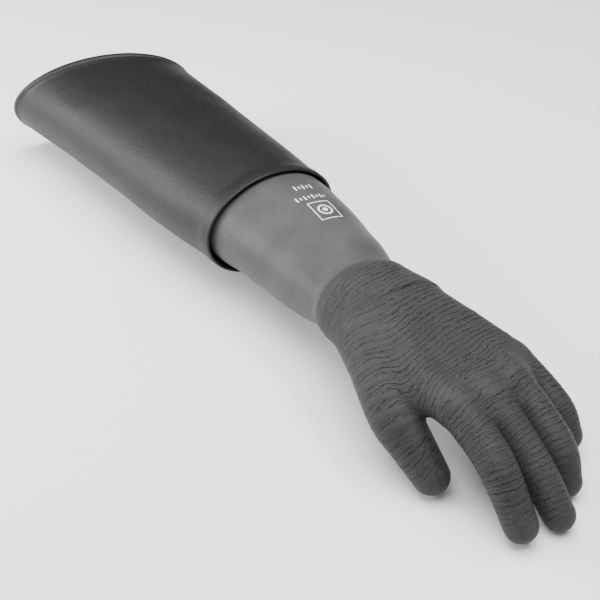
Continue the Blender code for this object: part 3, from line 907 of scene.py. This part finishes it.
GAUNTLET_END = COAT_EDGE + 9 * MM
SLEEVE_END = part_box("sleeve_lower_hem")[1].x
# The gauntlet swells a little where it fills the sleeve's end
SLEEVE_FILL = 1.9 * MM
SLEEVE_FILL_FADE = 30 * MM


def gauntlet_ring(place, out, turns=TURNS):
    """Ring of the smooth rubber with its soft waves, standing out by out."""
    ring = arm_ring(place, 0.0, turns)
    if place > WRIST[0] - 60 * MM:
        ring = settle(ring, 0.0, 3)
    waves = noise(ring / (38 * MM), 21) * 0.55 * MM + noise(ring / (14 * MM), 22) * 0.12 * MM
    fade = step_up(COAT_EDGE + 4 * MM - ring[:, 0], 0, 14 * MM)
    way = ring - arm_ring(place, 8 * MM, turns)
    way = way / np.linalg.norm(way, axis=1)[:, None]
    swell = SLEEVE_FILL * step_up(SLEEVE_END + SLEEVE_FILL_FADE - ring[:, 0], 0, SLEEVE_FILL_FADE)
    return ring + way * (waves * fade + swell + out)[:, None]


def make_gauntlet():
    """Smooth rubber from its rolled bead to just under the crinkled coat."""
    rows = [gauntlet_ring(place, 0.0) for place in np.linspace(GAUNTLET_START, GAUNTLET_END, 96)]
    obj = ring_tube("gauntlet_rubber", rows, SMOOTH)
    flip_if_inward(obj, arm_axis)
    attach(obj, ROOT)
    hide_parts("gauntlet_shell")

    inner = [arm_ring(place, LINING_DEPTH) for place in np.linspace(GAUNTLET_START, COAT_EDGE + 3 * MM, 40)]
    lining = ring_tube("gauntlet_knit", inner, KNIT)
    flip_if_inward(lining, arm_axis)
    lining.data.flip_normals()
    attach(lining, ROOT)
    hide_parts("gauntlet_lining")

    # Rolled bead at the rubber's end
    rows = []
    for turn in np.linspace(0, 2 * math.pi, 15)[:-1]:
        rows.append(arm_ring(GAUNTLET_START, 1.6 * MM - SLEEVE_FILL + 2.1 * MM * math.cos(turn))
                    + np.array([-1.4 * MM + 2.1 * MM * math.sin(turn), 0, 0]))
    bead = ring_tube("gauntlet_rolled_bead", rows, SMOOTH, closed=True)
    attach(bead, ROOT)
    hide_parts("gauntlet_bead")


# Sleeve ----------------------------------------------------

HEM_LOW, HEM_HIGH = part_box("sleeve_mouth_hem")
END_LOW, END_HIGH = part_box("sleeve_lower_hem")
HEM_PROUD = 1.8 * MM
HEM_LENGTH = 16 * MM
END_PROUD = 1.0 * MM
ROLL_RADIUS = 1.35 * MM
SLANT_UP = 0.40
SLANT_SIDE = 0.32
MOUTH_HALF_WIDTH = (HEM_HIGH.y - HEM_LOW.y) / 2 - HEM_PROUD
MOUTH_HALF_HEIGHT = (HEM_HIGH.z - HEM_LOW.z) / 2 - HEM_PROUD
MOUTH_LEVEL = (HEM_HIGH.z + HEM_LOW.z) / 2
MOUTH_REACH = math.hypot(SLANT_UP * (MOUTH_HALF_HEIGHT + HEM_PROUD),
                         SLANT_SIDE * (MOUTH_HALF_WIDTH + HEM_PROUD))
SLEEVE_LENGTH = SLEEVE_END - (HEM_LOW.x + MOUTH_REACH)
END_HALF_WIDTH = (END_HIGH.y - END_LOW.y) / 2 - END_PROUD
END_HALF_HEIGHT = (END_HIGH.z - END_LOW.z) / 2 - END_PROUD
END_LEVEL = (END_HIGH.z + END_LOW.z) / 2


def sleeve_ring(place, out, turns=TURNS):
    """Oval at a distance behind the sleeve's lower end, standing out from the cloth by out."""
    share = min(1.0, place / (SLEEVE_LENGTH - HEM_LENGTH))
    width = END_HALF_WIDTH + (MOUTH_HALF_WIDTH - END_HALF_WIDTH) * share + out
    height = END_HALF_HEIGHT + (MOUTH_HALF_HEIGHT - END_HALF_HEIGHT) * share + out
    level = END_LEVEL + (MOUTH_LEVEL - END_LEVEL) * share
    across = width * np.cos(turns)
    upward = height * np.sin(turns)
    ring = np.zeros((len(turns), 3))
    ring[:, 0] = SLEEVE_END - place + share * (SLANT_UP * upward + SLANT_SIDE * across)
    ring[:, 1] = across
    ring[:, 2] = level + upward
    return ring


def sleeve_axis(point):
    return Vector((point.x, 0.0, (MOUTH_LEVEL + END_LEVEL) / 2))


def sleeve_waves(ring, place):
    """Soft hollows and swells of the cloth, still at both hems."""
    quiet = step_up(np.full(len(ring), place), 2 * MM, 60 * MM)
    quiet *= step_up(np.full(len(ring), SLEEVE_LENGTH - place), HEM_LENGTH, 70 * MM)
    swell = noise(ring / np.array([95 * MM, 42 * MM, 42 * MM]), 31) * 1.5 * MM
    ripple = noise(ring / np.array([34 * MM, 16 * MM, 16 * MM]), 32) * 0.28 * MM
    return quiet * (swell + ripple) + ripple * 0.4


def waved(place, out):
    """Ring of the cloth with its swells, standing out by out."""
    ring = sleeve_ring(place, out)
    way = sleeve_ring(place, out + 1 * MM) - sleeve_ring(place, out)
    return ring + way / MM * sleeve_waves(sleeve_ring(place, 0.0), place)[:, None]


def make_sleeve():
    roll = ROLL_RADIUS
    rows = [waved(place, 0.0) for place in np.linspace(SLEEVE_LENGTH - 3 * MM, 16 * MM, 110)]
    rows += [waved(place, END_PROUD * step_up(np.array([16 * MM - place]), 0, 10 * MM)[0])
             for place in np.linspace(15 * MM, roll, 8)]
    for turn in np.linspace(0, math.pi, 11)[1:]:
        rows.append(waved(max(roll - roll * math.sin(turn), 0.0), END_PROUD - roll + roll * math.cos(turn)))
    rows += [waved(place, END_PROUD - 2 * roll + 0.4 * MM)
             for place in np.linspace(roll + 2 * MM, 26 * MM, 6)]
    cloth = ring_tube("sleeve_cloth", rows, FABRIC)
    flip_if_inward(cloth, sleeve_axis)
    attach(cloth, ROOT)
    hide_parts("sleeve_shell", "sleeve_lower_hem")

    rows = [waved(place, -2.2 * MM) for place in np.linspace(SLEEVE_LENGTH - 4 * MM, 30 * MM, 70)]
    lining = ring_tube("sleeve_inner_cloth", rows, BACKING)
    flip_if_inward(lining, sleeve_axis)
    lining.data.flip_normals()
    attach(lining, ROOT)
    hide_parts("sleeve_lining")
    return cloth, lining


STITCH_PLACE = 7.3 * MM
STITCH_PITCH = 3.0 * MM
STITCH_LENGTH = 2.3 * MM
THREAD_RADIUS = 0.32 * MM
THREAD_RINGS = 6
THREAD_SIDES = 8


def hem_profile():
    """Outline of the folded band: (distance in from the rim, height over the cloth), in mm."""
    outer = [(16.0, -0.15), (12.5, 0.3), (9.6, 0.65), (8.5, 0.9), (7.9, 0.75), (7.3, 0.1), (6.7, 0.8),
             (6.0, 1.35), (3.6, 1.85), (1.4, 1.7)]
    rim = [(0.3, 0.8), (0.0, -0.6), (0.3, -1.9), (1.2, -2.8)]
    inner = [(3.0, -3.1), (6.0, -3.0), (6.7, -2.7), (7.3, -2.3), (7.9, -2.7), (10.0, -3.4), (14.0, -4.0),
             (15.6, -3.4), (16.0, -2.4)]
    return outer + rim + inner


def make_mouth_hem():
    rows = [waved(SLEEVE_LENGTH - back * MM, (out - 0.2) * MM) for back, out in hem_profile()]
    hem = ring_tube("sleeve_mouth_band", rows, FABRIC, closed=True)
    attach(hem, ROOT)
    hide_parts("sleeve_mouth_hem")

    fine = np.linspace(0, 2 * math.pi, 3601)
    line = sleeve_ring(SLEEVE_LENGTH - STITCH_PLACE, 0.45 * MM, fine)
    outward = sleeve_ring(SLEEVE_LENGTH - STITCH_PLACE, 3 * MM, fine) - line
    threads = stitch_row("sleeve_hem_stitches", line, outward)
    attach(threads, ROOT)
    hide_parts("sleeve_hem_thread")
    return hem, threads


def stitch_row(name, line, outward):
    """Short tapered threads that dip into the cloth, evenly spaced along a line."""
    steps = np.linalg.norm(np.diff(line, axis=0), axis=1)
    places = np.concatenate([[0], np.cumsum(steps)])
    count = int(places[-1] / STITCH_PITCH)
    points = []
    faces = []
    for i in range(count):
        middle = (i + 0.5) * places[-1] / count
        ends = [np.array([np.interp(middle + s, places, line[:, a]) for a in range(3)])
                for s in (-STITCH_LENGTH / 2, STITCH_LENGTH / 2)]
        out = unit([np.interp(middle, places, outward[:, a]) for a in range(3)])
        along = unit(ends[1] - ends[0])
        side = np.cross(along, out)
        start = len(points)
        for share in np.linspace(0, 1, THREAD_RINGS):
            arch = math.sin(math.pi * share)
            centre = ends[0] + (ends[1] - ends[0]) * share + out * (0.42 * MM * arch - 0.25 * MM)
            thick = THREAD_RADIUS * (0.55 + 0.45 * arch)
            for spin in np.linspace(0, 2 * math.pi, THREAD_SIDES, endpoint=False):
                points.append(centre + (side * math.cos(spin) + out * math.sin(spin)) * thick)
        faces += grid_faces(THREAD_RINGS, THREAD_SIDES, start)
        faces.append(tuple(start + j for j in reversed(range(THREAD_SIDES))))
        faces.append(tuple(len(points) - THREAD_SIDES + j for j in range(THREAD_SIDES)))
    obj = mesh_object(name, points, faces)
    obj.data.materials.append(THREAD)
    return obj


SEAM_TURN = math.radians(-24)
SEAM_HALF = 5.0 * MM
# The seam's stitch rows, as shares of its half width from its middle
SEAM_ROWS = {"upper": 0.6, "lower": -0.6}


def seam_point(place, across, height):
    """Point over the cloth at a share of the seam's half width, and the way out from the cloth."""
    spin = np.array([SEAM_TURN + across * SEAM_HALF / MOUTH_HALF_HEIGHT])
    base = sleeve_ring(place, 0.0, spin)
    way = (sleeve_ring(place, 1 * MM, spin) - base) / MM
    return (base + way * (sleeve_waves(base, place) + height)[:, None])[0], way[0]


def make_side_seam():
    """Lapped strip with two rows of stitches down the side away from the thumb."""
    profile = [(-1.0, 0.05), (-0.97, 0.75), (-0.85, 1.05), (-0.6, 0.85), (-0.2, 1.1),
               (0.3, 1.1), (0.6, 0.85), (0.85, 1.0), (0.97, 0.7), (1.0, 0.05)]
    rows = []
    for place in np.linspace(SLEEVE_LENGTH - HEM_LENGTH + 1 * MM, 6 * MM, 90):
        rows.append(np.array([seam_point(place, across, height * MM)[0] for across, height in profile]))
    points = np.concatenate(rows)
    count = len(profile)
    faces = [(i * count + j, i * count + j + 1, (i + 1) * count + j + 1, (i + 1) * count + j)
             for i in range(len(rows) - 1) for j in range(count - 1)]
    seam = mesh_object("sleeve_lapped_seam", points, faces)
    seam.data.materials.append(FABRIC)
    flip_if_inward(seam, sleeve_axis)
    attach(seam, ROOT)
    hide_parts("sleeve_side_seam")

    made = [seam]
    for label, across in SEAM_ROWS.items():
        line, outward = zip(*[seam_point(place, across, 1.0 * MM)
                              for place in np.linspace(SLEEVE_LENGTH - HEM_LENGTH - 1 * MM, 9 * MM, 400)])
        row = stitch_row("seam_stitches_" + label, np.array(line), np.array(outward))
        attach(row, ROOT)
        made.append(row)
    return made


def make_joining_band():
    """Hidden band between the gauntlet and the sleeve's lining."""
    low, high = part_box("sleeve_joining_band")
    middle = (low.x + high.x) / 2
    rows = []
    for turn in np.linspace(0, 2 * math.pi, 21)[:-1]:
        place = middle + 5.5 * MM * math.cos(turn)
        share = 0.5 + 0.5 * math.copysign(abs(math.sin(turn)) ** 0.5, math.sin(turn))
        inner = arm_ring(place, -0.4 * MM - SLEEVE_FILL)
        outer = sleeve_ring(SLEEVE_END - place, -2.9 * MM)
        outer[:, 0] = place
        rows.append(inner + (outer - inner) * share)
    band = ring_tube("joining_band", rows, FABRIC, closed=True)
    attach(band, ROOT)
    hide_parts("sleeve_joining_band")


# Printed mark ----------------------------------------------

PRINT_PLACE = SLEEVE_END + 53.4 * MM
PRINT_TURN = math.radians(75)
# The mark's sizes in mm: half sides of the frame, half widths of its strokes and of the ticks,
# inner and outer radii of the ring and the dot, and half lengths of the long and short ticks
FRAME_HALF = (11.0, 9.3)
FRAME_STROKE = 0.42
RING = (4.6, 6.2)
DOT = (0.3, 2.2)
TICK_STROKE = 0.65
TICK_LENGTHS = (2.7, 1.5)
# Rows of ticks: place along the arm, number of ticks, and first place and pitch round the arm
TICK_ROWS = ((-33.0, 5, -6.0, 3.6), (-18.8, 8, -13.6, 3.6))
PRINT_HEIGHT = 0.13 * MM


def stroke(x0, y0, x1, y1, half, count=8):
    """Quads of a straight stroke."""
    along = unit((x1 - x0, y1 - y0))
    side = np.array([-along[1], along[0]]) * half
    ends = [np.array([x0, y0]) + np.array([x1 - x0, y1 - y0]) * i / count for i in range(count + 1)]
    return [(a - side, b - side, b + side, a + side) for a, b in zip(ends, ends[1:])]


def ring_band(inner, outer, count=48):
    """Quads of a flat ring."""
    ways = [np.array([math.cos(t), math.sin(t)]) for t in np.linspace(0, 2 * math.pi, count + 1)]
    return [(a * inner, a * outer, b * outer, b * inner) for a, b in zip(ways, ways[1:])]


def print_strokes():
    """A frame round a ring with a dot, and two rows of plain ticks."""
    long, wide = FRAME_HALF
    shapes = []
    reach = long + FRAME_STROKE
    for end in (-1, 1):
        shapes += stroke(-reach, end * wide, reach, end * wide, FRAME_STROKE, 12)
        shapes += stroke(end * long, -wide, end * long, wide, FRAME_STROKE, 12)
    shapes += ring_band(*RING) + ring_band(*DOT)
    for place, count, start, pitch in TICK_ROWS:
        for i in range(count):
            reach = TICK_LENGTHS[i % 2]
            across = start + i * pitch
            shapes += stroke(place - reach, across, place + reach, across, TICK_STROKE, 4)
    return shapes


def make_print():
    """Plain white mark without lettering, laid on the gauntlet."""
    points = []
    faces = []
    for quad in print_strokes():
        faces.append(tuple(range(len(points), len(points) + 4)))
        for along, across in quad:
            place = PRINT_PLACE + along * MM
            _, _, half_width, half_height = [v[0] for v in arm_oval(np.array([place]))]
            radius = math.hypot(half_width * math.sin(PRINT_TURN), half_height * math.cos(PRINT_TURN))
            turns = np.array([PRINT_TURN - across * MM / radius])
            points.append(gauntlet_ring(place, PRINT_HEIGHT, turns)[0])
    mark = mesh_object("printed_mark", points, faces)
    builder = bmesh.new()
    builder.from_mesh(mark.data)
    bmesh.ops.remove_doubles(builder, verts=builder.verts, dist=0.00002)
    builder.to_mesh(mark.data)
    builder.free()
    mark.data.materials.append(INK)
    flip_if_inward(mark, arm_axis)
    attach(mark, ROOT)


# Stage -----------------------------------------------------

CAMERA_AZIMUTH = 54.46
CAMERA_ELEVATION = 36.05
CAMERA_TARGET = Vector((-0.0259, 0.0380, -0.0485))
CAMERA_DISTANCE = 1.0
CAMERA_LENS = 70.3


def make_camera():
    data = bpy.data.cameras.new("camera")
    data.lens = CAMERA_LENS
    data.sensor_width = 36
    camera = link(bpy.data.objects.new("camera", data))
    turn, rise = math.radians(CAMERA_AZIMUTH), math.radians(CAMERA_ELEVATION)
    back = Vector((math.sin(turn) * math.cos(rise), -math.cos(turn) * math.cos(rise), math.sin(rise)))
    camera.location = CAMERA_TARGET + back * CAMERA_DISTANCE
    camera.rotation_euler = back.to_track_quat("Z", "Y").to_euler()
    bpy.context.scene.camera = camera
    return camera


def area_light(name, place, target, size, power):
    data = bpy.data.lights.new(name, "AREA")
    data.shape = "RECTANGLE"
    data.size, data.size_y = size
    data.energy = power
    light = link(bpy.data.objects.new(name, data))
    light.location = place
    light.rotation_euler = (Vector(place) - Vector(target)).to_track_quat("Z", "Y").to_euler()


FLOOR_HALF = 6.0
# Just under the glove, so that the two do not share a plane
FLOOR_LEVEL = -0.6 * MM
WORLD_STRENGTH = 0.20
# Softboxes: place and aim in metres, size in metres and power in watts
SOFTBOXES = {
    "left_softbox": ((-0.66, -0.73, 0.44), (-0.13, 0, 0.05), (0.8, 0.45), 16),
    "top_softbox": ((0.15, -0.05, 1.5), (0, 0, 0), (1.6, 1.6), 70),
    "right_softbox": ((0.3, 1.2, 0.9), (0, 0, 0), (1.4, 1.0), 4),
}


def make_stage():
    ways = ((-1, -1), (1, -1), (1, 1), (-1, 1))
    corners = [(x * FLOOR_HALF, y * FLOOR_HALF, FLOOR_LEVEL) for x, y in ways]
    floor = mesh_object("floor", corners, [(0, 1, 2, 3)])
    nodes = Nodes("floor_paper", 0.9, Specular_IOR_Level=0.1)
    shade = nodes.noise(nodes.place(), 3.0, 2)
    floor.data.materials.append(nodes.paint(nodes.ramp(shade, ((0.0, 0.86), (1.0, 0.88)))))
    world = bpy.data.worlds.new("studio")
    world.use_nodes = True
    world.node_tree.nodes["Background"].inputs["Color"].default_value = (1, 1, 1, 1)
    world.node_tree.nodes["Background"].inputs["Strength"].default_value = WORLD_STRENGTH
    bpy.context.scene.world = world
    for name, softbox in SOFTBOXES.items():
        area_light(name, *softbox)


# The whole scene -------------------------------------------

make_camera()
make_stage()
make_hand_skin()
make_hand_lining()
make_gauntlet()
cloth, inner_cloth = make_sleeve()
hem, hem_stitches = make_mouth_hem()
seam_pieces = make_side_seam()
make_joining_band()
make_print()
